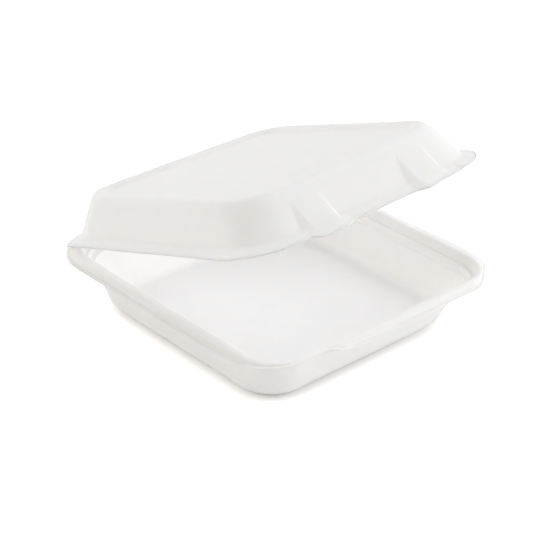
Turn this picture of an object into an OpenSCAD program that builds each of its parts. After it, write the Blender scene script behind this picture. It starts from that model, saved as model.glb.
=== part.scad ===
// Hinged clamshell food container of moulded bagasse pulp, lid part open.
// Millimetres. X runs to the right along the front edge, +Y to the rear where the lid folds,
// Z up from the table. The origin is on the underside, in the middle of the tray.

/* [Shell] */
// Thickness of the moulded pulp
wall = 0.8; // [0.6:0.1:1.2]
// Steps round each rounded corner
corner_steps = 8; // [6:1:12]

/* [Tray rim] */
// Distance between the left and right crests of the rim
rim_width = 212; // [196:1:230]
// Distance from the middle to the front crest
rim_front = 115; // [108:1:122]
// Distance from the middle to the rear crest
rim_rear = 112; // [106:1:118]
// Corner radius of the crest, seen from above
rim_radius = 27; // [24:1:32]
// Height of the crest over the table
rim_height = 43; // [40:0.5:60]
// Fall from the crest to the rim's outer lip
rim_fall = 4.7; // [3.5:0.1:6]
// Width of the sloping rim at the left and right
rim_side = 9; // [7:0.5:12]
// Width of the sloping rim in the middle of the front
rim_lip = 6; // [4.5:0.5:9]
// Width of the sloping rim at the corners
rim_corner = 2; // [1.6:0.2:4]
// Width of the sloping rim at the rear, up to the fold
rim_hinge = 9; // [7:0.5:12]
// Half length of the full width lip in the middle of the front
lip_half = 38; // [30:1:46]
// Length over which the front lip tapers to the corner width
lip_taper = 28; // [20:1:32]

/* [Tray walls] */
// Level of the upper ledge under the crest
ledge_upper = 8; // [7:0.2:9.5]
// Level of the lower ledge under the crest
ledge_lower = 15; // [13:0.2:18]
// Distance from the crest in to the upper ledge
upper_inset = 3.9; // [3.4:0.1:4.6]
// Distance from the crest in to the lower ledge
lower_inset = 8; // [7:0.1:9]
// Width of each ledge
ledge_width = 1.6; // [1.2:0.1:2]
// Distance from the crest in to the foot of the side walls
foot_side = 12.5; // [11:0.5:17]
// Distance from the crest in to the foot of the front and rear walls
foot_front = 20.5; // [17:0.5:25]
// Width of the soft curve between floor and wall
foot_curve = 10; // [8:0.5:16]
// Corner radius at the foot, seen from above
foot_radius = 25; // [20:1:28]

/* [Lid] */
// Height of the crown over the table when the lid is shut
lid_height = 73.1; // [70:0.5:90]
// Distance from the foot of the lid's side walls in to the crown
lean_side = 11.2; // [8:0.2:16]
// Distance from the foot of the lid's front wall in to the crown
lean_front = 15.5; // [10:0.5:20]
// Distance from the foot of the lid's rear wall in to the crown
lean_rear = 4.9; // [3:0.1:9]
// Corner radius of the crown, seen from above
crown_radius = 31; // [28:0.5:32]
// Rounding between the crown and the walls
crown_round = 5.5; // [4:0.5:6.5]
// Width of the raised border round the top panel
border_width = 6; // [4:0.5:9]
// Depth of the top panel under its border
panel_depth = 3; // [1.5:0.25:4]
// Width of the slope between the border and the panel
panel_slope = 5; // [3.5:0.5:7]
// Height of the lid's wall foot over the tray's crest, lid shut
foot_rise = 5.5; // [4.5:0.5:8]
// Distance from the tray's crest out to the foot of the lid's side walls
lid_foot_side = 0; // [-2:0.5:1]
// Distance from the tray's crest in to the foot of the lid's front wall
lid_foot_front = 3; // [0.5:0.5:4.5]
// Distance from the tray's crest in to the foot of the lid's rear wall
lid_foot_rear = 5.5; // [5:0.5:7]
// Corner radius at the foot of the lid's walls, seen from above
lid_foot_radius = 28; // [26:0.5:31]
// Overhang of the lid's flange past the tray's rim, left and right
flange_side = 1.7; // [0.5:0.1:3]
// Overhang of the lid's flange past the tray's lip, front
flange_front = 0.9; // [0.5:0.1:2.5]
// Corner radius of the lid's flange, seen from above
flange_radius = 40; // [34:1:43]
// Height of the flange's edge over the tray's crest, lid shut
flange_rise = 0.1; // [-0.4:0.1:0.5]
// Fall of the flange's edge along the middle of the front
flange_sag = 1.4; // [0:0.1:2]

/* [Front buttresses] */
// Distance from the middle to the outer side of each buttress
buttress_outer = 60; // [54:1:61]
// Distance from the middle to the inner side of each buttress
buttress_inner = 37; // [30:1:42]
// Level of the buttress's top under the crown
buttress_top = 9.1; // [7:0.2:12]
// Reach of the buttress in front of the wall's foot
buttress_reach = 3.5; // [2:0.5:8]
// Bulge of the flange's edge in front of each buttress
buttress_edge = 5; // [2:0.5:8]
// Run of the buttress's slanted sides at the wall's foot
buttress_side = 8; // [4:0.5:10]

/* [Fold] */
// Clearance between the lid's edge and the tray's edge at the fold
fold_gap = 0.5; // [0.4:0.1:0.8]
// Angle by which the lid stands open
open_angle = 20.2; // [1:0.2:180]
// Warp of the lid: how much further it stands open at the right crest, and less at the left
lid_warp = 0.6; // [0:0.1:1]

/* [Hidden] */
rim_half = rim_width / 2;
lip_height = rim_height - rim_fall;
fold_y = rim_rear + rim_hinge + fold_gap / 2;
fold_z = lip_height + fold_gap / 2;
pulp = [0.925, 0.914, 0.894];

function unit(v) = v / norm(v);
function mix(a, b, t) = a + (b - a) * t;
function soft(t) = let (c = min(1, max(0, t))) c * c * (3 - 2 * c);
function bend(a, b, c, t) = mix(mix(a, b, t), mix(b, c, t), t);

// Quarter arc of a corner. Each point carries its place and its outward direction.
function arc(cx, cy, r, start) = [for (i = [0:corner_steps])
    let (a = start + 90 * i / corner_steps) [cx + r * cos(a), cy + r * sin(a), cos(a), sin(a)]];

// Closed line round the part, counterclockwise from the left end of the front run.
// The line is [half width, front, rear, corner radius, height], xs are the points of the front run,
// and fs are the fractions of the side and rear runs that get a point.
function around(s, xs, fs) = let (w = s[0] - s[3], f = s[3] - s[1], b = s[2] - s[3]) concat(
    [for (x = xs) [x, -s[1], 0, -1]],
    arc(w, f, s[3], 270),
    [for (k = fs) [s[0], mix(f, b, k), 1, 0]],
    arc(w, b, s[3], 0),
    [for (k = fs) [mix(w, -w, k), s[2], 0, 1]],
    arc(-w, b, s[3], 90),
    [for (k = fs) [-s[0], mix(b, f, k), -1, 0]],
    arc(-w, f, s[3], 180));

// Direction out of the surface at point j of line i
function out_of(lines, i, j) = let (n = len(lines[0]), m = len(lines) - 1,
    outward = lines[min(i + 1, m)][j] - lines[max(i - 1, 0)][j],
    along = lines[i][(j + 1) % n] - lines[i][(j + n - 1) % n]) unit(cross(outward, along));

// Shell of even thickness under a surface given as lines from the middle outwards
module shell(lines) {
    m = len(lines);
    n = len(lines[0]);
    under = [for (i = [m - 1:-1:0]) [for (j = [0:n - 1]) lines[i][j] - wall * out_of(lines, i, j)]];
    share = [for (j = [0:n - 1]) 1 / n];
    last = 2 * m - 1;
    polyhedron(
        points = concat([for (line = concat(lines, under)) for (p = line) p], [share * lines[0], share * under[m - 1]]),
        faces = [for (i = [0:last]) for (j = [0:n - 1]) let (k = (j + 1) % n, c = i * n, d = c + n)
            each i < last ? [[c + j, c + k, d + k], [c + j, d + k, d + j]] : [[d, k, j], [d + 1, c + j, c + k]]]);
}

// Tray: lines set in from the crest by the same amount all round
function inset(side, front, radius, z) = [rim_half - side, rim_front - front, rim_rear - front, radius, z];
tray_stops = [0.08, 0.16, 0.24, 0.6];
lip_xs = [for (k = [0:4]) lip_half + lip_taper * k / 4];
crest_run = rim_half - rim_radius;
lip_stops = concat([for (k = [4:-1:0]) -lip_xs[k] / crest_run], [for (x = lip_xs) x / crest_run]);
function tray_line(s) = [for (p = around(s, [for (f = lip_stops) f * (s[0] - s[3])], tray_stops)) [p[0], p[1], s[4]]];

foot = inset(foot_side, foot_front, foot_radius, wall);
ledge_low = rim_height - ledge_lower;
ledge_high = rim_height - ledge_upper;
low_in = lower_inset + ledge_width / 2;
low_out = lower_inset - ledge_width / 2;
high_in = upper_inset + ledge_width / 2;
high_out = upper_inset - ledge_width / 2;
wall_top = inset(low_in, low_in, rim_radius - 1.5, ledge_low - 0.5);
flat = [foot[0] - foot_curve, foot[1] - foot_curve, foot[2] - foot_curve, foot_radius - foot_curve / 2, wall];
inner = [flat[0] - 3, flat[1] - 3, flat[2] - 3, flat[3] - 2, wall];
curve_end = mix(foot, wall_top, 0.42);

// Width of the sloping rim at a crest point
function rim_at(p) = p[1] > 0 ? mix(rim_side, rim_hinge, max(0, p[3]))
    : abs(p[2]) > 0.75 ? mix(rim_corner, rim_side, soft((rim_front - 17 + p[1]) / 50))
    : mix(rim_corner, rim_lip, soft((lip_half + lip_taper - abs(p[0])) / lip_taper));
crest = around(inset(0, 0, rim_radius, rim_height), [for (f = lip_stops) f * crest_run], tray_stops);
// Sloping rim: [share of the width, share of the fall]
rim_steps = [[0.1, 0.03], [0.28, 0.24], [0.72, 0.9], [0.82, 1], [1, 1]];
function rim_line(s) = [for (p = crest) let (w = rim_at(p))
    [p[0] + p[2] * w * s[0], p[1] + p[3] * w * s[0], rim_height - s[1] * rim_fall * min(1, w / rim_lip)]];

module tray() {
    color(pulp) shell(concat(
        [tray_line(inner)],
        [for (t = [0:0.2:1]) tray_line(bend(flat, foot, curve_end, t))],
        [for (s = [
            wall_top,
            inset(low_in - 0.5, low_in - 0.5, rim_radius - 1.5, ledge_low),
            inset(low_out, low_out, rim_radius - 1.3, ledge_low + 0.2),
            inset(low_out - 0.4, low_out - 0.4, rim_radius - 1.2, ledge_low + 0.8),
            inset(high_in, high_in, rim_radius - 1, ledge_high - 0.5),
            inset(high_in - 0.5, high_in - 0.5, rim_radius - 0.9, ledge_high),
            inset(high_out, high_out, rim_radius - 0.7, ledge_high + 0.2),
            inset(high_out - 0.3, high_out - 0.3, rim_radius - 0.6, ledge_high + 0.8),
            inset(1.5, 1.5, rim_radius - 0.4, rim_height - 1.8),
            inset(0.8, 0.8, rim_radius - 0.2, rim_height - 0.5),
            inset(0, 0, rim_radius, rim_height)]) tray_line(s)],
        [for (s = rim_steps) rim_line(s)]));
}

// Lid, drawn shut and then turned up about the fold
lid_foot = [rim_half + lid_foot_side, rim_front - lid_foot_front, rim_rear - lid_foot_rear, lid_foot_radius,
    rim_height + foot_rise];
crown_half = lid_foot[0] - lean_side;
crown_front = lid_foot[1] - lean_front;
crown_rear = lid_foot[2] - lean_rear;
function lid_out(d, r, z) = [crown_half + d, crown_front + d, crown_rear + d, crown_radius + r, z];
border_in = -crown_round - border_width;
panel_z = lid_height - panel_depth;
wall_z = lid_height - crown_round;
edge_z = rim_height + flange_rise;
crown_low = lid_out(0, 0, wall_z);
edge = [rim_half + rim_side + flange_side, rim_front + rim_lip + flange_front, fold_y - fold_gap / 2, flange_radius,
    edge_z];
edge_in = [edge[0] - 2, edge[1] - 2, edge[2] - 2, flange_radius - 2, edge_z + 0.3];
flange_in = mix(lid_foot, edge_in, 0.3);
apex_z = lid_height - buttress_top;
lid_stops = [0.08, 0.3, 0.7, 0.92];

// Front run of the lid: two points each side of each buttress. q is how far the buttress stands out.
function front_xs(q) = let (o = buttress_outer, i = buttress_inner, s = mix(1, buttress_side, q))
    [-o - s, -o, -i, s - i, i - s, i, o, o + s];
// reach is the buttress's stand out, sag the fall of the front's middle, drop the fall of the rear to the fold
function lid_line(s, q, reach, sag, drop) = let (k = min(1, (s[0] - s[3]) / (crown_half - crown_radius)),
    ps = around(s, k * front_xs(q), lid_stops), n = len(ps))
    [for (j = [0:n - 1]) let (p = ps[j], b = j < 8 && j % 4 != 0 && j % 4 != 3 ? 1 : 0,
        middle = j > 0 && j < 7 ? 1 : 0, g = soft((p[1] - rim_rear + 30) / 32))
        [p[0], p[1] - reach * b, s[4] - sag * middle - drop * g]];
function rise(z) = min(1, max(0, (apex_z - z) / (apex_z - lid_foot[4])));
function wall_line(t) = let (s = mix(crown_low, lid_foot, t), q = rise(s[4])) lid_line(s, q, buttress_reach * q, 0, 0);
apex_t = (wall_z - apex_z) / (wall_z - lid_foot[4]);
fold_drop = edge_z - lip_height - fold_gap - wall;

// Turn of a point about the fold, front up
function opened(p) = let (a = open_angle + lid_warp * p[0] / rim_half, y = p[1] - fold_y, z = p[2] - fold_z)
    [p[0], fold_y + y * cos(a) + z * sin(a), fold_z - y * sin(a) + z * cos(a)];

module lid() {
    lines = concat(
        [lid_line(lid_out(border_in - panel_slope - 4, -16, panel_z), 0, 0, 0, 0)],
        [for (t = [0:0.25:1]) lid_line(lid_out(border_in - panel_slope * (1 - t), -10 - 4 * (1 - t),
            panel_z + panel_depth * soft(t)), 0, 0, 0, 0)],
        [for (a = [0:22.5:90]) lid_line(lid_out(crown_round * (sin(a) - 1), crown_round * (sin(a) - 1),
            wall_z + crown_round * cos(a)), 0, 0, 0, 0)],
        [for (t = [apex_t, mix(apex_t, 1, 0.35), mix(apex_t, 1, 0.7), 1]) wall_line(t)],
        [lid_line(mix(lid_foot, flange_in, 0.35) - [0, 0, 0, 0, 1.1], 1, buttress_reach + 0.5, 0, 0)],
        [lid_line(flange_in, 1, buttress_reach + 0.5, 0, 0)],
        [lid_line(mix(flange_in, edge_in, 0.5), 1, mix(buttress_reach, buttress_edge, 0.5), flange_sag / 2,
            fold_drop * 0.12)],
        [lid_line(edge_in, 1, buttress_edge, flange_sag, fold_drop * 0.8)],
        [lid_line(edge, 1, buttress_edge, flange_sag, fold_drop)]);
    color(pulp) shell([for (line = lines) [for (p = line) opened(p)]]);
}

tray();
lid();
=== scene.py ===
# Moulded bagasse clamshell, lid part open. All sizes are in millimetres and go to metres in the mesh.
import math
import bpy
import numpy as np
from mathutils import Matrix, Vector


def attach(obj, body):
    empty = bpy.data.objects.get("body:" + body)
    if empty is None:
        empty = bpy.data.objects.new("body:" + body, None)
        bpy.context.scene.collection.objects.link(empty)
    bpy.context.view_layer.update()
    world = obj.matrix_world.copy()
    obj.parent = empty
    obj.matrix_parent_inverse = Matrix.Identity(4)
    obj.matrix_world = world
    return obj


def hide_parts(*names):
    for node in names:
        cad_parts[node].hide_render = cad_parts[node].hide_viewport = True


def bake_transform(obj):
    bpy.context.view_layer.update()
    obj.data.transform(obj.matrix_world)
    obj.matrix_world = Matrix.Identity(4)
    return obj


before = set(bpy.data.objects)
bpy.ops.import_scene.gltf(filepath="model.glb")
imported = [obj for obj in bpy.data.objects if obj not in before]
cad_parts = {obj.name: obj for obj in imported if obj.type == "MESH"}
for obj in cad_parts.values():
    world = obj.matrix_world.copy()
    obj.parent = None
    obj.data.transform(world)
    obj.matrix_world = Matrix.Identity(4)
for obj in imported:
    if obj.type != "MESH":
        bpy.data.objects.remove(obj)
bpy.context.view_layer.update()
toMetres = 0.001

# Camera, fitted to the outlines in the photograph
cameraValues = {
    "azimuth": -42.29,
    "elevation": 29.22,
    "roll": 1.03,
    "distance": 1337.7,
    "pixelsPerMm": 1.39,
    "aim": (-1.14, -11.63),
    "aimHeight": 40.0,
    "sensorWidth": 36.0,
    "pictureWidth": 550.0,
}


def makeCamera(values):
    turn = math.radians(values["azimuth"])
    lift = math.radians(values["elevation"])
    roll = math.radians(values["roll"])
    back = Vector((math.sin(turn) * math.cos(lift), -math.cos(turn) * math.cos(lift), math.sin(lift)))
    right = Vector((math.cos(turn), math.sin(turn), 0.0))
    up = back.cross(right)
    target = Vector((0, 0, values["aimHeight"])) + right * values["aim"][0] + up * values["aim"][1]
    place = (target + back * values["distance"]) * toMetres
    rolledRight = right * math.cos(roll) + up * math.sin(roll)
    rolledUp = up * math.cos(roll) - right * math.sin(roll)
    data = bpy.data.cameras.new("camera")
    data.sensor_fit = "HORIZONTAL"
    data.sensor_width = values["sensorWidth"]
    data.lens = values["pixelsPerMm"] * values["distance"] * values["sensorWidth"] / values["pictureWidth"]
    data.clip_start = 0.01
    data.clip_end = 50.0
    camera = bpy.data.objects.new("camera", data)
    axes = Matrix((rolledRight, rolledUp, back)).transposed().to_4x4()
    camera.matrix_world = Matrix.Translation(place) @ axes
    bpy.context.scene.collection.objects.link(camera)
    bpy.context.scene.camera = camera


makeCamera(cameraValues)
print("camera ready")


# Helpers for surfaces made of lines round the part
# a rounding takes at most this share of the straight runs beside it
roundingShare = 0.48
# points along one rounding: at least this many, and this many for each mm of it
roundingPoints = 7
roundingPointsPerMm = 1.7


def softStep(t):
    # 0 below 0, 1 above 1, and 3t^2 - 2t^3 between
    c = np.clip(t, 0.0, 1.0)
    return c * c * (3.0 - 2.0 * c)


def roundedProfile(corners, rounding, spacing):
    # Polyline through the corners, where each corner is a parabola that starts the given distance
    # before it and ends as far after it. Length is measured in half width and height.
    corners = np.asarray(corners, float)
    step = np.diff(corners, axis=0)
    length = np.maximum(np.hypot(step[:, 0], step[:, 4]), 1e-6)
    rows = [corners[:1]]
    start = corners[0]
    for k in range(1, len(corners)):
        last = k == len(corners) - 1
        cut = 0.0
        if not last:
            cut = min(rounding[k], roundingShare * length[k - 1], roundingShare * length[k])
        before = corners[k] - step[k - 1] * (cut / length[k - 1])
        run = np.hypot(before[0] - start[0], before[4] - start[4])
        count = max(1, int(round(run / spacing)))
        t = np.linspace(0, 1, count + 1)[1:, None]
        rows.append(start + (before - start) * t)
        start = before
        if cut > 0:
            after = corners[k] + step[k] * (cut / length[k])
            count = max(roundingPoints, int(roundingPointsPerMm * cut))
            t = np.linspace(0, 1, count)[1:, None]
            rows.append((1 - t) ** 2 * before + 2 * t * (1 - t) * corners[k] + t ** 2 * after)
            start = after
    return np.vstack(rows)


cornerPoints = 27
runPoints = 44
cornerTurn = np.radians(np.linspace(0, 90, cornerPoints))
sideShare = np.linspace(0, 1, runPoints)[1:-1]
rearShare = np.linspace(1, -1, runPoints)[1:-1]


def linesRound(rings, frontX):
    # Each ring is a rounded rectangle: front run, right corner, right side and so on, counterclockwise.
    # Returns the points of all rings and the outward direction of each point.
    half, front, rear, radius = (rings[:, k:k + 1] for k in range(4))
    w = half - radius
    f = radius - front
    b = rear - radius
    one = np.ones_like(w)
    xs = [frontX]
    ys = [-front + 0 * frontX]
    ns = [np.stack([0 * frontX[0], -1 + 0 * frontX[0]], 1)]

    def corner(cx, cy, start):
        a = cornerTurn + math.radians(start)
        xs.append(cx + radius * np.cos(a))
        ys.append(cy + radius * np.sin(a))
        ns.append(np.stack([np.cos(a), np.sin(a)], 1))

    def run(x, y, nx, ny):
        xs.append(x)
        ys.append(y)
        ns.append(np.tile([[nx, ny]], (x.shape[1], 1)))

    corner(w, f, 270)
    run(half * np.ones_like(sideShare), f + (b - f) * sideShare, 1, 0)
    corner(w, b, 0)
    run(w * rearShare, rear * np.ones_like(rearShare), 0, 1)
    corner(-w, b, 90)
    run(-half * np.ones_like(sideShare), b + (f - b) * sideShare, -1, 0)
    corner(-w, f, 180)
    return np.concatenate(xs, 1), np.concatenate(ys, 1), np.concatenate(ns, 0) * one[0]


def surfaceNormals(grid):
    # Cross product of the step outwards and the step along the line, softened along the profile
    outward = np.gradient(grid, axis=0)
    along = np.roll(grid, -1, axis=1) - np.roll(grid, 1, axis=1)
    n = np.cross(outward, along)
    n /= np.maximum(np.linalg.norm(n, axis=2, keepdims=True), 1e-12)
    padded = np.concatenate([n[:1], n[:1], n, n[-1:], n[-1:]], 0)
    n = (padded[:-4] + 2 * padded[1:-3] + 3 * padded[2:-2] + 2 * padded[3:-1] + padded[4:]) / 9.0
    return n / np.linalg.norm(n, axis=2, keepdims=True)


def shellMesh(name, grid, thickness):
    # Upper surface, a half round edge, and the same surface set in by the thickness. Each middle is
    # closed by a fan round one point.
    n = surfaceNormals(grid)
    under = grid - n * thickness
    middle = (grid[-1] + under[-1]) / 2
    outward = np.cross(np.roll(grid[-1], -1, axis=0) - np.roll(grid[-1], 1, axis=0), n[-1])
    outward /= np.linalg.norm(outward, axis=1, keepdims=True)
    turn = np.radians([60, 30, 0, -30, -60])[:, None, None]
    lip = middle + thickness / 2 * (np.sin(turn) * n[-1] + np.cos(turn) * outward)
    rings = np.concatenate([grid, lip, under[::-1]], 0)
    m, k = rings.shape[:2]
    points = np.concatenate([rings.reshape(-1, 3), [rings[0].mean(0), rings[-1].mean(0)]]) * toMetres
    i, j = np.meshgrid(np.arange(m - 1), np.arange(k), indexing="ij")
    a = (i * k + j).ravel()
    b = (i * k + (j + 1) % k).ravel()
    quads = np.stack([b, a, a + k, b + k], 1)
    j = np.arange(k)
    top = np.stack([j, (j + 1) % k, np.full(k, m * k)], 1)
    low = np.stack([(m - 1) * k + (j + 1) % k, (m - 1) * k + j, np.full(k, m * k + 1)], 1)
    mesh = bpy.data.meshes.new(name)
    mesh.from_pydata(points.tolist(), [], quads.tolist() + top.tolist() + low.tolist())
    mesh.shade_smooth()
    mesh.update()
    piece = bpy.data.objects.new(name, mesh)
    bpy.context.scene.collection.objects.link(piece)
    return piece


# Tray
trayValues = {
    "wall": 0.8,
    "rimHalf": 106.0,
    "rimFront": 115.0,
    "rimRear": 112.0,
    "rimRadius": 27.0,
    "rimHeight": 43.0,
    "rimFall": 4.7,
    "rimSide": 10.4,
    "rimLip": 6.3,
    "rimCorner": 3.6,
    "rimCornerFall": 1.6,
    "rimNotch": 1.3,
    "rimNotchFall": 1.0,
    "rimHinge": 9.0,
    "rimSideLess": 1.3,
    "rimSideLessStart": -74.0,
    "rimSideLessTaper": 14.0,
    "cornerAngle": 50.0,
    "crestRound": 1.6,
    "crestRise": 1.8,
    "lipStart": -62.0,
    "lipTaper": 20.0,
    "bow": 0.9,
    "bowWidth": 0.7,
    "bowPlace": -60.0,
    "bowBackPlace": -5.0,
    "ledgeUpper": 8.0,
    "ledgeLower": 12.2,
    "upperInset": 3.5,
    "lowerInset": 7.0,
    "ledgeWidth": 2.2,
    "ledgeRise": 0.2,
    "ledgeRound": 0.35,
    "ledgeHollow": 1.05,
    "footSide": 12.6,
    "footFront": 19.8,
    "footCurve": 13.0,
    "footRadius": 30.0,
    "footPullRight": 4.6,
    "footPullLeft": -1.8,
    "footPullReachRight": 26.0,
    "footPullReachLeft": 24.0,
    "footCorner": (86.0, -88.0),
    "waviness": 0.25,
    "wavePhase": 0.4,
}


def trayGrid(v):
    def inset(side, front, radius, z):
        return [v["rimHalf"] - side, v["rimFront"] - front, v["rimRear"] - front, radius, z]

    wall, height, radius, crestIn = v["wall"], v["rimHeight"], v["rimRadius"], v["crestRound"]
    low, high = height - v["ledgeLower"], height - v["ledgeUpper"]
    lowIn, lowOut = v["lowerInset"] + v["ledgeWidth"] / 2, v["lowerInset"] - v["ledgeWidth"] / 2
    highIn, highOut = v["upperInset"] + v["ledgeWidth"] / 2, v["upperInset"] - v["ledgeWidth"] / 2
    foot = np.array(inset(v["footSide"], v["footFront"], v["footRadius"], wall))
    flat = foot.copy()
    flat[:3] -= v["footCurve"] + 6
    flat[3] -= v["footCurve"] / 2 + 2
    floorRings = [flat * [s, s, s, s, 1] for s in (0.04, 0.25, 0.5, 0.75, 0.93)]
    corners = floorRings + [
        flat,
        foot,
        inset(lowIn, lowIn, radius - 1.5, low),
        inset(lowOut, lowOut, radius - 1.3, low + v["ledgeRise"]),
        inset(highIn, highIn, radius - 1.0, high),
        inset(highOut, highOut, radius - 0.7, high + v["ledgeRise"]),
        inset(crestIn, crestIn, radius - 0.4, height - v["crestRise"]),
    ]
    ledge = [v["ledgeRound"], v["ledgeHollow"]]
    rounding = [0, 0, 0, 0, 0, 0, v["footCurve"] * 1.1] + ledge + ledge + [0]
    inner = roundedProfile(corners, rounding, 3.5)
    a = np.radians(np.linspace(0, 90, 9)[1:-1])
    crest = np.array([inset(crestIn * math.cos(t), crestIn * math.cos(t), radius - 0.4 * math.cos(t),
                            height - v["crestRise"] * (1 - math.sin(t))) for t in a]
                     + [inset(0, 0, radius, height)])
    rings = np.vstack([inner, crest])
    share = np.linspace(-1, 1, 123)[1:-1]
    x, y, n = linesRound(rings, (rings[:, :1] - rings[:, 3:4]) * share)
    grid = np.stack([x, y, np.broadcast_to(rings[:, 4:5], x.shape)], 2)
    # sloping rim: convex under the crest, then a flat lip, as shares of its width and fall
    cx, cy = x[-1], y[-1]
    width, fall = rimSection(v, cx, cy, n)
    shape = np.zeros((6, 5))
    shape[:, 0] = [0, 0.3, 0.52, 0.68, 0.8, 1.0]
    shape[:, 4] = [0, 0.08, 0.33, 0.9, 1.0, 0.98]
    slope = roundedProfile(shape, [0, 0.14, 0.14, 0.08, 0.06, 0], 0.05)[1:]
    rim = np.stack([cx + n[:, 0] * width * slope[:, :1], cy + n[:, 1] * width * slope[:, :1],
                    height - fall * slope[:, 4:5]], 2)
    return bowed(v, np.concatenate([grid, rim], 0))


def rimSection(v, x, y, n):
    # Width and fall of the rim at each point of the crest. It narrows round the front corners, and
    # the front lip starts past a notch at the left.
    lip = softStep((x - v["lipStart"]) / v["lipTaper"])
    front = v["rimNotch"] + (v["rimLip"] - v["rimNotch"]) * lip
    frontFall = v["rimNotchFall"] + (v["rimFall"] - v["rimNotchFall"]) * lip
    turn = np.degrees(np.arctan2(np.maximum(-n[:, 1], 0), np.abs(n[:, 0])))
    less = softStep((v["rimSideLessStart"] - y) / v["rimSideLessTaper"])
    side = v["rimSide"] - v["rimSideLess"] * less
    around = np.clip(turn / v["cornerAngle"], 0, 1) ** 0.8
    toFront = softStep((turn - v["cornerAngle"]) / (90 - v["cornerAngle"]))
    width = side + (v["rimCorner"] - side) * around
    width = width + (front - width) * toFront
    fall = v["rimFall"] + (v["rimCornerFall"] - v["rimFall"]) * around
    fall = fall + (frontFall - fall) * toFront
    width = width + (v["rimHinge"] - v["rimSide"]) * np.maximum(0, n[:, 1])
    right = np.maximum(n[:, 0], 0) * v["bowWidth"]
    wider = np.exp(-((y - v["bowPlace"]) / 20) ** 2)
    narrower = np.exp(-((y - v["bowBackPlace"]) / 30) ** 2)
    width = width + right * (wider - narrower)
    return width, fall


def bowed(v, grid):
    # The right wall bows outwards near its front end and a little inwards in the middle. Both front
    # corners of the foot are moved, the right one inwards and the left one outwards.
    x, y, z = grid[..., 0], grid[..., 1], grid[..., 2]
    bow = np.exp(-((y - v["bowPlace"]) / 26) ** 2) - 0.7 * np.exp(-((y - v["bowBackPlace"]) / 26) ** 2)
    out = grid.copy()
    out[..., 0] += v["bow"] * bow * softStep((x - 70) / 30) * softStep(z / 40)
    low = 1 - softStep((z - 14) / 24)
    cornerX, cornerY = v["footCorner"]
    out = pulled(out, (cornerX, cornerY), v["footPullReachRight"], v["footPullRight"], low)
    return pulled(out, (-cornerX, cornerY), v["footPullReachLeft"], v["footPullLeft"], low)


def pulled(grid, corner, spread, amount, share):
    # Moves the surface round one corner towards the middle of the part
    x, y = grid[..., 0] - corner[0], grid[..., 1] - corner[1]
    pull = amount * share * np.exp(-(x * x + y * y) / spread ** 2)
    size = math.hypot(*corner)
    out = grid.copy()
    out[..., 0] -= pull * corner[0] / size
    out[..., 1] -= pull * corner[1] / size
    return out


def waver(grid, amount, phase):
    # Slight unevenness of dried pulp: a few long waves that grow with height and leave the foot flat
    x, y, z = grid[..., 0], grid[..., 1], grid[..., 2]
    grow = np.clip((z - 6) / 30, 0, 1)
    a = np.arctan2(y, x)
    lift = np.sin(3 * a + phase) + 0.6 * np.sin(5 * a + 2.1 * phase) + 0.3 * np.sin(9 * a + phase)
    out = grid.copy()
    out[..., 2] += amount * grow * lift
    return out


trayShape = waver(trayGrid(trayValues), trayValues["waviness"], trayValues["wavePhase"])
tray = shellMesh("trayPulp", trayShape, trayValues["wall"])
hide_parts("tray")
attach(tray, "tray")
print("tray ready", len(tray.data.polygons))

# Lid
lidValues = {
    "wall": 0.8,
    "height": 73.1,
    "crownHalf": 94.8,
    "crownFront": 96.5,
    "crownRear": 101.6,
    "crownRadius": 28.0,
    "crownRound": 5.5,
    "borderWidth": 6.0,
    "panelDepth": 3.0,
    "panelSlope": 4.0,
    "panelCurve": 3.0,
    "panelRadiusLess": 16.0,
    "footRise": 3.4,
    "footSide": -1.0,
    "footFront": 3.0,
    "footRear": 4.4,
    "footRadius": 29.0,
    "flangeHalf": 116.7,
    "flangeFront": 121.9,
    "flangeRadius": 40.0,
    "flangeRise": 0.1,
    "buttressOuter": 60.0,
    "buttressInner": 37.5,
    "buttressTop": 9.1,
    "buttressReach": 4.6,
    "buttressEdge": 5.5,
    "buttressLeft": 7.0,
    "buttressRight": 4.0,
    "buttressRound": 0.3,
    "buttressRightLess": 0.85,
    "buttressEdgeWider": 3.0,
    "edgeSag": 1.4,
    "edgeSagRight": 34.0,
    "lipTurn": (1.0, 1.3),
    "cornerPull": 2.2,
    "cornerPullReach": 20.0,
    "corner": (101.0, -104.0),
    "lowBand": 17.0,
    "foldGap": 0.5,
    "openAngle": 20.17,
    "twist": 0.9,
    "twistWidth": 115.0,
}


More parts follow.
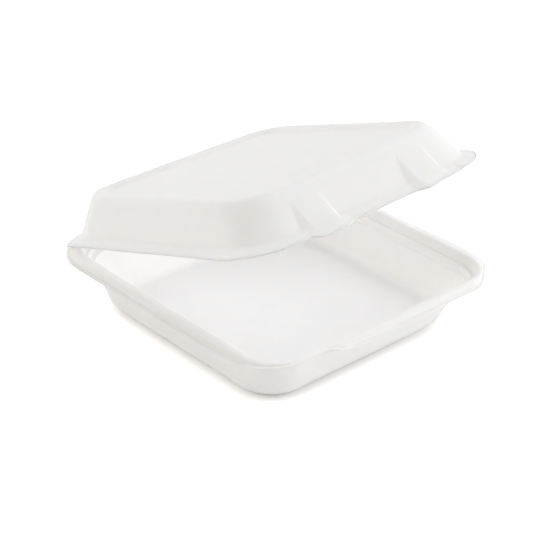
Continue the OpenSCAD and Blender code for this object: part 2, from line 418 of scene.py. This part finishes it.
def lidGrid(v, t):
    # columns: half width, front, rear, corner radius, height, reach, sag, fold drop, buttress share
    foldY = t["rimRear"] + t["rimHinge"] + v["foldGap"] / 2
    lipHeight = t["rimHeight"] - t["rimFall"]
    foldZ = lipHeight + v["foldGap"] / 2

    def out(d, r, z, reach=0.0, sag=0.0, drop=0.0, share=0.0):
        return [v["crownHalf"] + d, v["crownFront"] + d, v["crownRear"] + d, v["crownRadius"] + r, z,
                reach, sag, drop, share]

    top = v["height"]
    panel = top - v["panelDepth"]
    border = -v["crownRound"] - v["borderWidth"]
    crown = np.array(out(0, 0, top - v["crownRound"]))
    foot = np.array([t["rimHalf"] + v["footSide"], t["rimFront"] - v["footFront"],
                     t["rimRear"] - v["footRear"], v["footRadius"], t["rimHeight"] + v["footRise"],
                     v["buttressReach"], 0, 0, 1])
    rise = crown[4] - foot[4]
    apexShare = (v["buttressTop"] - v["crownRound"]) / rise
    apex = crown + (foot - crown) * apexShare
    apex[5:] = 0
    crownTop = crown - (foot - crown) * (v["crownRound"] / rise)
    crownTop[5:] = 0
    crownTop[4] = top
    edgeZ = t["rimHeight"] + v["flangeRise"]
    drop = edgeZ - lipHeight - v["foldGap"] - v["wall"]
    edge = np.array([v["flangeHalf"], v["flangeFront"], foldY - v["foldGap"] / 2, v["flangeRadius"],
                     edgeZ, v["buttressEdge"], v["edgeSag"], drop, 1])
    edgeIn = edge - [2, 2, 2, 2, -0.3, 0, 0, 0.2 * drop, 0]
    inward, down = v["lipTurn"]
    turned = edge - [inward, inward, 0, inward, down, 0, 0, 0, 0]
    panelFoot = out(border - v["panelSlope"] - v["panelCurve"], -v["panelRadiusLess"], panel)
    panelRings = []
    for s in (0.04, 0.3, 0.6, 0.85):
        ring = np.array(panelFoot)
        ring[:4] *= s
        panelRings.append(ring)
    corners = panelRings + [
        panelFoot,
        out(border - v["panelSlope"], -13.5, panel),
        out(border, -9.5, top),
        crownTop,
        apex,
        foot,
        edgeIn,
        edge,
        turned,
    ]
    rounding = [0, 0, 0, 0, 0, 2.0, 1.6, v["crownRound"] * 0.95, 1.0, 1.6, 0.8, 0.5, 0]
    rings = roundedProfile(corners, rounding, 2.6)
    # front run: fixed stations at both sides of each buttress, ramps get the most points. The steep
    # right flank widens again at the flange, so that the lid's lower outline has no step there.
    o, i, left, right = v["buttressOuter"], v["buttressInner"], v["buttressLeft"], v["buttressRight"]
    q = rings[:, 8:9]
    w = rings[:, :1] - rings[:, 3:4]
    scale = np.minimum(1, w / (v["crownHalf"] - v["crownRadius"]))
    wide, steep = 1 + (left - 1) * q, 1 + (right - 1) * q
    atFlange = softStep((foot[4] - rings[:, 4:5]) / 2.5)
    steep = steep + (wide + v["buttressEdgeWider"] - steep) * atFlange
    edges = np.concatenate([-o - wide, -o + 0 * q, -i + 0 * q, -i + steep, i - wide, i + 0 * q, o + 0 * q,
                            o + steep], 1)
    stops = np.concatenate([-w, edges * scale, w], 1)
    steps = np.array([0, 9, 22, 36, 48, 74, 86, 100, 113, 122])
    frontX = np.stack([np.interp(np.arange(1, 122), steps, row) for row in stops])
    x, y, n = linesRound(rings, frontX)
    # buttress: a trapezoid across the front, steeper at its right side and softened at its corners
    fine = np.arange(-90, 90.01, 0.25)
    kernel = np.exp(-0.5 * (np.arange(-12, 13) * 0.25 / v["buttressRound"]) ** 2)
    kernel /= kernel.sum()
    bulge = np.zeros_like(frontX)
    for row in range(len(rings)):
        plain = np.interp(fine, edges[row], [0, 1, 1, 0, 0, 1, 1, 0])
        bulge[row] = np.interp(frontX[row], fine, np.convolve(plain, kernel, "same"))
    count = frontX.shape[1]
    z = np.repeat(rings[:, 4:5], x.shape[1], 1)
    y = y.copy()
    # the right buttress fades out at the lid's edge
    fade = softStep((frontX - 38) / 22) * softStep((foot[4] - rings[:, 4:5]) / 3)
    less = 1 - v["buttressRightLess"] * fade
    y[:, :count] -= rings[:, 5:6] * bulge * less
    # the front edge hangs between the buttresses' outer sides, and the rear edge drops to the fold
    taper = np.where(frontX > 0, v["edgeSagRight"], left)
    z[:, :count] -= rings[:, 6:7] * softStep((o + taper - np.abs(frontX)) / taper)
    z -= rings[:, 7:8] * softStep((y - t["rimRear"] + 30) / 32)
    low = softStep((foot[4] + v["lowBand"] - z) / (v["lowBand"] - 1))
    shape = pulled(np.stack([x, y, z], 2), v["corner"], v["cornerPullReach"], v["cornerPull"], low)
    return shape, foldY, foldZ


def openLid(v, grid, foldY, foldZ):
    # Turn about the fold, front up, a little further at the right than at the left
    a = np.radians(v["openAngle"] + v["twist"] * grid[..., 0] / v["twistWidth"])
    y, z = grid[..., 1] - foldY, grid[..., 2] - foldZ
    return np.stack([grid[..., 0], foldY + y * np.cos(a) + z * np.sin(a),
                     foldZ - y * np.sin(a) + z * np.cos(a)], 2)


shut, foldY, foldZ = lidGrid(lidValues, trayValues)
lid = shellMesh("lidPulp", openLid(lidValues, shut, foldY, foldZ), lidValues["wall"])
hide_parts("lid")
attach(lid, "lid")
print("lid ready", len(lid.data.polygons))

# Fold: the thin pressed strip that joins tray and lid along the rear lip
foldValues = {
    "halfLength": 78.0,
    "radius": 0.65,
    "thickness": 0.5,
    "back": -0.3,
    "up": 0.05,
}


def foldStrip(v, y, z):
    # Open C in cross section, closed at both ends, bulging to the rear
    turn = np.radians(np.linspace(-105, 85, 15))
    outer, inner = v["radius"] + v["thickness"] / 2, v["radius"] - v["thickness"] / 2
    section = np.concatenate([np.stack([outer * np.cos(turn), outer * np.sin(turn)], 1),
                              np.stack([inner * np.cos(turn[::-1]), inner * np.sin(turn[::-1])], 1)])
    stations = np.linspace(-v["halfLength"], v["halfLength"], 80)
    m, k = len(stations), len(section)
    points = np.zeros((m, k, 3))
    points[..., 0] = stations[:, None]
    points[..., 1] = y + section[:, 0]
    points[..., 2] = z + section[:, 1]
    i, j = np.meshgrid(np.arange(m - 1), np.arange(k), indexing="ij")
    a, b = (i * k + j).ravel(), (i * k + (j + 1) % k).ravel()
    quads = np.stack([a, a + k, b + k, b], 1).tolist()
    half = k // 2
    for base, flip in ((0, 1), ((m - 1) * k, -1)):
        for n in range(half - 1):
            face = [base + n, base + n + 1, base + k - 2 - n, base + k - 1 - n]
            quads.append(face[::flip])
    mesh = bpy.data.meshes.new("foldPulp")
    mesh.from_pydata((points.reshape(-1, 3) * toMetres).tolist(), [], quads)
    mesh.shade_smooth()
    piece = bpy.data.objects.new("foldPulp", mesh)
    bpy.context.scene.collection.objects.link(piece)
    return piece


fold = foldStrip(foldValues, foldY + foldValues["back"], foldZ + foldValues["up"])
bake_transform(fold)
print("fold ready", len(fold.data.polygons))

# Pulp
pulpValues = {
    "tone": (0.932, 0.9095, 0.891, 1),
    "toneDark": (0.924, 0.900, 0.880, 1),
    "depth": 0.001,
    "depthByColour": (1.0, 0.95, 0.85),
    "roughness": 0.9,
    "sheen": 0.25,
    "mottleScale": 60.0,
    "fibreScale": 900.0,
    "fibreHeight": 0.0004,
    "fibreStrength": 0.25,
    # reach and strength of the painted crease shade in the base colour
    "creaseReach": 0.004,
    "creasePaintedShade": 0.06,
    # strengths of the painted bend shade and the painted ridge highlight in the base colour
    "bendPaintedShade": 0.02,
    "ridgePaintedHighlight": 0.06,
}


def pulpMaterial(v):
    material = bpy.data.materials.new("bagassePulp")
    material.use_nodes = True
    nodes, links = material.node_tree.nodes, material.node_tree.links
    shader = nodes["Principled BSDF"]
    shader.inputs["Roughness"].default_value = v["roughness"]
    shader.inputs["Specular IOR Level"].default_value = v["sheen"]
    shader.inputs["Subsurface Weight"].default_value = 1.0
    shader.inputs["Subsurface Scale"].default_value = v["depth"]
    shader.inputs["Subsurface Radius"].default_value = v["depthByColour"]
    place = nodes.new("ShaderNodeTexCoord")
    mottle = nodes.new("ShaderNodeTexNoise")
    mottle.inputs["Scale"].default_value = v["mottleScale"]
    mottle.inputs["Detail"].default_value = 6.0
    mottle.inputs["Roughness"].default_value = 0.6
    links.new(place.outputs["Object"], mottle.inputs["Vector"])
    mix = nodes.new("ShaderNodeMix")
    mix.data_type = "RGBA"
    mix.inputs["A"].default_value = v["toneDark"]
    mix.inputs["B"].default_value = v["tone"]
    spread = nodes.new("ShaderNodeMapRange")
    spread.inputs["From Min"].default_value = 0.35
    spread.inputs["From Max"].default_value = 0.6
    links.new(mottle.outputs["Fac"], spread.inputs["Value"])
    links.new(spread.outputs["Result"], mix.inputs["Factor"])
    # painted shade: the base colour is darkened in creases by a local ambient occlusion, standing in for
    # the shade there
    crease = nodes.new("ShaderNodeAmbientOcclusion")
    crease.samples = 8
    crease.only_local = True
    crease.inputs["Distance"].default_value = v["creaseReach"]
    shade = nodes.new("ShaderNodeMapRange")
    shade.inputs["From Min"].default_value = 0.45
    shade.inputs["From Max"].default_value = 0.95
    shade.inputs["To Min"].default_value = 1.0 - v["creasePaintedShade"]
    shade.inputs["To Max"].default_value = 1.0
    links.new(crease.outputs["AO"], shade.inputs["Value"])
    # painted highlight and painted shade: the base colour is a touch lighter on convex ridges and a touch
    # darker in the insides of bends, by pointiness
    bend = nodes.new("ShaderNodeNewGeometry")
    ridge = nodes.new("ShaderNodeMapRange")
    ridge.inputs["From Min"].default_value = 0.46
    ridge.inputs["From Max"].default_value = 0.54
    ridge.inputs["To Min"].default_value = 1.0 - v["bendPaintedShade"]
    ridge.inputs["To Max"].default_value = 1.0 + v["ridgePaintedHighlight"]
    links.new(bend.outputs["Pointiness"], ridge.inputs["Value"])
    # the base colour times the painted crease shade and the painted bend shade and ridge highlight
    both = nodes.new("ShaderNodeMath")
    both.operation = "MULTIPLY"
    links.new(shade.outputs["Result"], both.inputs[0])
    links.new(ridge.outputs["Result"], both.inputs[1])
    paintedShadeAndHighlight = nodes.new("ShaderNodeVectorMath")
    paintedShadeAndHighlight.operation = "SCALE"
    links.new(mix.outputs["Result"], paintedShadeAndHighlight.inputs["Vector"])
    links.new(both.outputs["Value"], paintedShadeAndHighlight.inputs["Scale"])
    links.new(paintedShadeAndHighlight.outputs["Vector"], shader.inputs["Base Color"])
    fibre = nodes.new("ShaderNodeTexNoise")
    fibre.inputs["Scale"].default_value = v["fibreScale"]
    fibre.inputs["Detail"].default_value = 4.0
    links.new(place.outputs["Object"], fibre.inputs["Vector"])
    bump = nodes.new("ShaderNodeBump")
    bump.inputs["Strength"].default_value = v["fibreStrength"]
    bump.inputs["Distance"].default_value = v["fibreHeight"]
    links.new(fibre.outputs["Fac"], bump.inputs["Height"])
    links.new(bump.outputs["Normal"], shader.inputs["Normal"])
    return material


pulp = pulpMaterial(pulpValues)
for piece in (tray, lid, fold):
    piece.data.materials.clear()
    piece.data.materials.append(pulp)

# Floor, lamps and surroundings, in metres. The camera sees white round the floor, and the soft lamps
# under the lid stand in for light that comes through the thin lid; they move with it.
studioValues = {
    "surround": 0.0,
    "lampDistance": 1.6,
    "lampSize": 1.2,
    "lamps": [
        # azimuth, elevation, strength W
        (0, 10, 4.5),
        (0, 35, 0.5),
        (45, 10, 9.6),
        (45, 35, 5.8),
        (160, 30, 9.1),
        (-135, 30, 7.6),
        (60, 60, 8.2),
    ],
    "warmLamps": [
        (-90, 15, 5.6),
        (-90, 45, 3.4),
    ],
    "warmTone": (1.0, 0.975, 0.935),
    "fills": [
        # place m, size m, strength W
        ((-0.005, 0, 0.064), (0.19, 0.19), 0.0412),
        ((-0.045, 0.045, 0.063), (0.1, 0.1), 0.0035),
    ],
    "fillTone": (0.97, 1.0, 1.05),
    "floorHalf": 6.0,
    "floorDrop": 0.0002,
    "floorShown": 1.8,
    "floorFade": (0.5, 0.9),
    # reach and strength of the painted contact shadow on the floor
    "contactReach": 0.014,
    "contactPaintedShadow": 0.25,
    "floorLit": 0.98,
}


def addLamp(name, place, away, size, power):
    data = bpy.data.lights.new(name, "AREA")
    data.shape = "RECTANGLE"
    data.size, data.size_y = size
    data.energy = power
    lamp = bpy.data.objects.new(name, data)
    lamp.matrix_world = Matrix.Translation(place) @ away.to_track_quat("Z", "Y").to_matrix().to_4x4()
    bpy.context.scene.collection.objects.link(lamp)
    return lamp


def makeStudio(v):
    world = bpy.data.worlds.new("surround")
    bpy.context.scene.world = world
    world.use_nodes = True
    nodes, links = world.node_tree.nodes, world.node_tree.links
    back = nodes["Background"]
    back.inputs["Color"].default_value = (1, 1, 1, 1)
    path = nodes.new("ShaderNodeLightPath")
    strength = nodes.new("ShaderNodeMix")
    strength.data_type = "FLOAT"
    strength.inputs["A"].default_value = v["surround"]
    strength.inputs["B"].default_value = 1.0
    seen = nodes.new("ShaderNodeMath")
    seen.operation = "MAXIMUM"
    links.new(path.outputs["Is Camera Ray"], seen.inputs[0])
    links.new(path.outputs["Is Glossy Ray"], seen.inputs[1])
    links.new(seen.outputs["Value"], strength.inputs["Factor"])
    links.new(strength.outputs["Result"], back.inputs["Strength"])
    for k, (azimuth, elevation, power) in enumerate(v["lamps"] + v["warmLamps"]):
        a, e = math.radians(azimuth), math.radians(elevation)
        away = Vector((math.sin(a) * math.cos(e), -math.cos(a) * math.cos(e), math.sin(e)))
        lamp = addLamp("lamp%d" % k, away * v["lampDistance"], away, (v["lampSize"], v["lampSize"]), power)
        if k >= len(v["lamps"]):
            lamp.data.color = v["warmTone"]
    for k, (place, size, power) in enumerate(v["fills"]):
        lamp = addLamp("underLid%d" % k, Vector(place), Vector((0, 0, 1)), size, power)
        lamp.data.color = v["fillTone"]
        lamp.visible_camera = False
        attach(lamp, "lid")
    mesh = bpy.data.meshes.new("floor")
    s, z = v["floorHalf"], -v["floorDrop"]
    mesh.from_pydata([(-s, -s, z), (s, -s, z), (s, s, z), (-s, s, z)], [], [(0, 1, 2, 3)])
    floor = bpy.data.objects.new("floor", mesh)
    bpy.context.scene.collection.objects.link(floor)
    material = bpy.data.materials.new("paleFloor")
    material.use_nodes = True
    nodes, links = material.node_tree.nodes, material.node_tree.links
    nodes.remove(nodes["Principled BSDF"])
    matte = nodes.new("ShaderNodeBsdfDiffuse")
    path = nodes.new("ShaderNodeLightPath")
    tone = nodes.new("ShaderNodeMix")
    tone.data_type = "RGBA"
    tone.inputs["A"].default_value = (v["floorLit"],) * 3 + (1,)
    links.new(path.outputs["Is Camera Ray"], tone.inputs["Factor"])
    links.new(tone.outputs["Result"], matte.inputs["Color"])
    # painted contact shadow: the floor is a touch darker where the part stands on it, to the camera only
    contact = nodes.new("ShaderNodeAmbientOcclusion")
    contact.samples = 16
    contact.inputs["Distance"].default_value = v["contactReach"]
    near = nodes.new("ShaderNodeMapRange")
    near.inputs["From Min"].default_value = 0.4
    near.inputs["From Max"].default_value = 0.92
    near.inputs["To Min"].default_value = v["floorShown"] * (1.0 - v["contactPaintedShadow"])
    near.inputs["To Max"].default_value = v["floorShown"]
    links.new(contact.outputs["AO"], near.inputs["Value"])
    links.new(near.outputs["Result"], tone.inputs["B"])
    # past the lamps' reach the floor shows as plain white to the camera
    place = nodes.new("ShaderNodeTexCoord")
    away = nodes.new("ShaderNodeVectorMath")
    away.operation = "LENGTH"
    links.new(place.outputs["Object"], away.inputs[0])
    far = nodes.new("ShaderNodeMapRange")
    far.interpolation_type = "SMOOTHSTEP"
    far.inputs["From Min"].default_value, far.inputs["From Max"].default_value = v["floorFade"]
    links.new(away.outputs["Value"], far.inputs["Value"])
    farSeen = nodes.new("ShaderNodeMath")
    farSeen.operation = "MULTIPLY"
    links.new(far.outputs["Result"], farSeen.inputs[0])
    links.new(path.outputs["Is Camera Ray"], farSeen.inputs[1])
    white = nodes.new("ShaderNodeEmission")
    surface = nodes.new("ShaderNodeMixShader")
    links.new(farSeen.outputs["Value"], surface.inputs["Fac"])
    links.new(matte.outputs["BSDF"], surface.inputs[1])
    links.new(white.outputs["Emission"], surface.inputs[2])
    links.new(surface.outputs["Shader"], nodes["Material Output"].inputs["Surface"])
    mesh.materials.append(material)


makeStudio(studioValues)
bpy.context.scene.view_settings.view_transform = "Standard"
print("studio ready")
